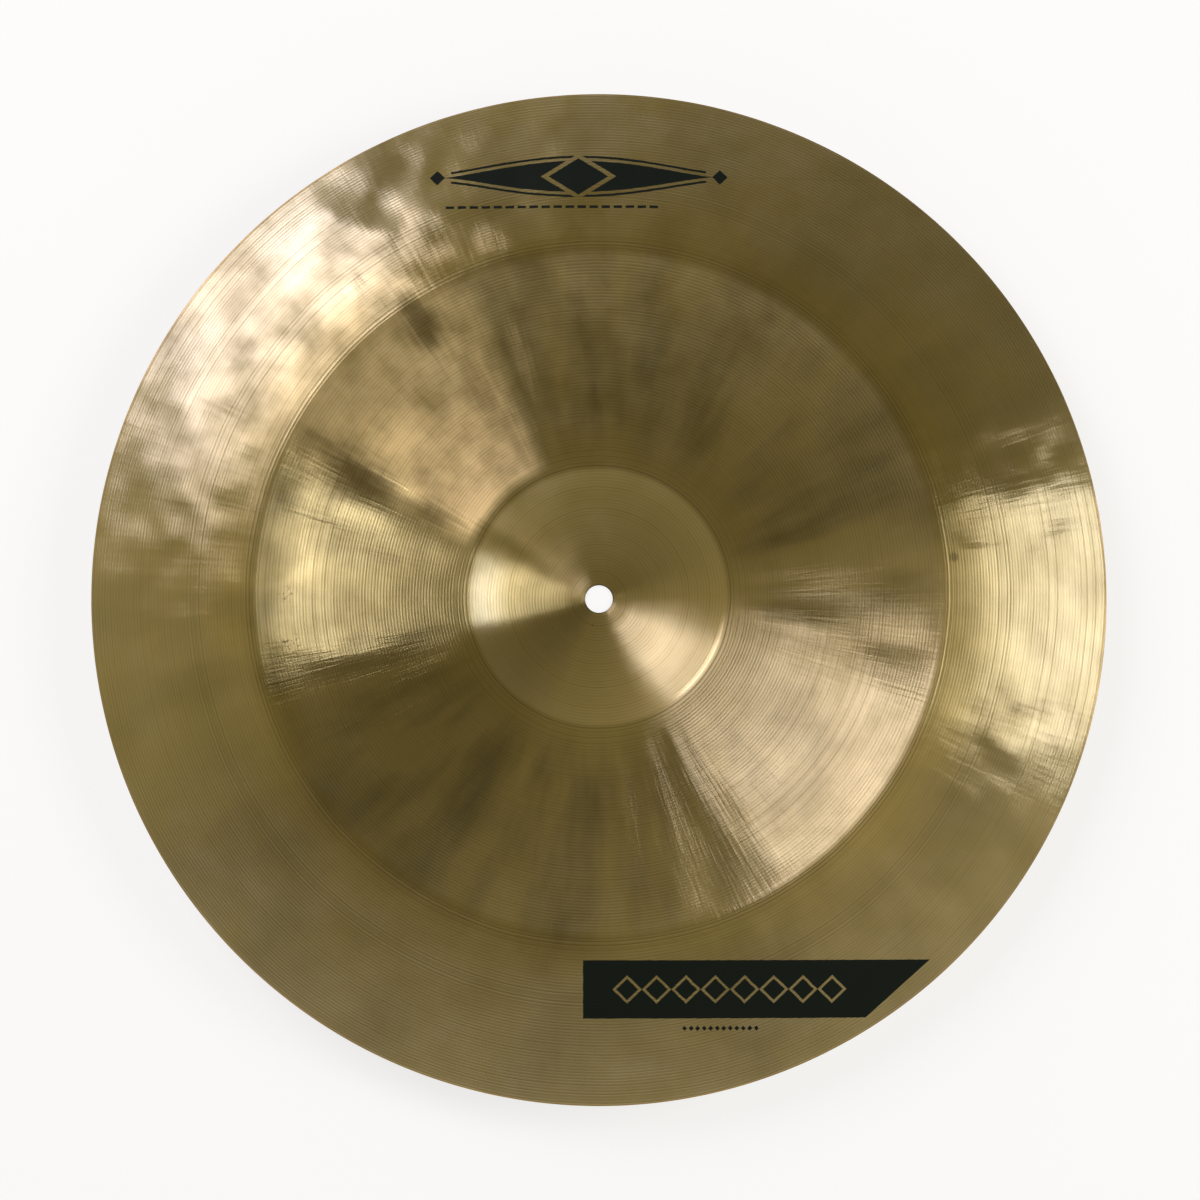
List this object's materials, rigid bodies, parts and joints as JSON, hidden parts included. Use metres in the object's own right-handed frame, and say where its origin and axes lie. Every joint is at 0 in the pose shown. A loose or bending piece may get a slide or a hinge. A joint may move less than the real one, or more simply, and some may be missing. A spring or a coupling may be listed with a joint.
{
  "type": "china cymbal",
  "caption": "Round bronze china cymbal, hollow side up: a bowl-shaped bell with a centre hole for a stand rod, a bow that rises to a creased ridge and a falling flange.",
  "frame": {"origin": "on the cymbal's axis, in the plane of the outer face of the flat seat round the hole, which is the lowest part of the bell", "axes": "+Z along the cymbal's axis from the bell towards the ridge, the way the picture is taken from; +Y towards the top of the picture and +X towards its right"},
  "size_m": [0.4572, 0.4572, 0.0482],
  "materials": {
    "bronze": "cast bronze, hammered and finely lathed in circles, satin with a soft shine, flat black printed marks on the flange"
  },
  "bodies": {
    "root": {"cymbal": "bronze"}
  },
  "joints": []
}
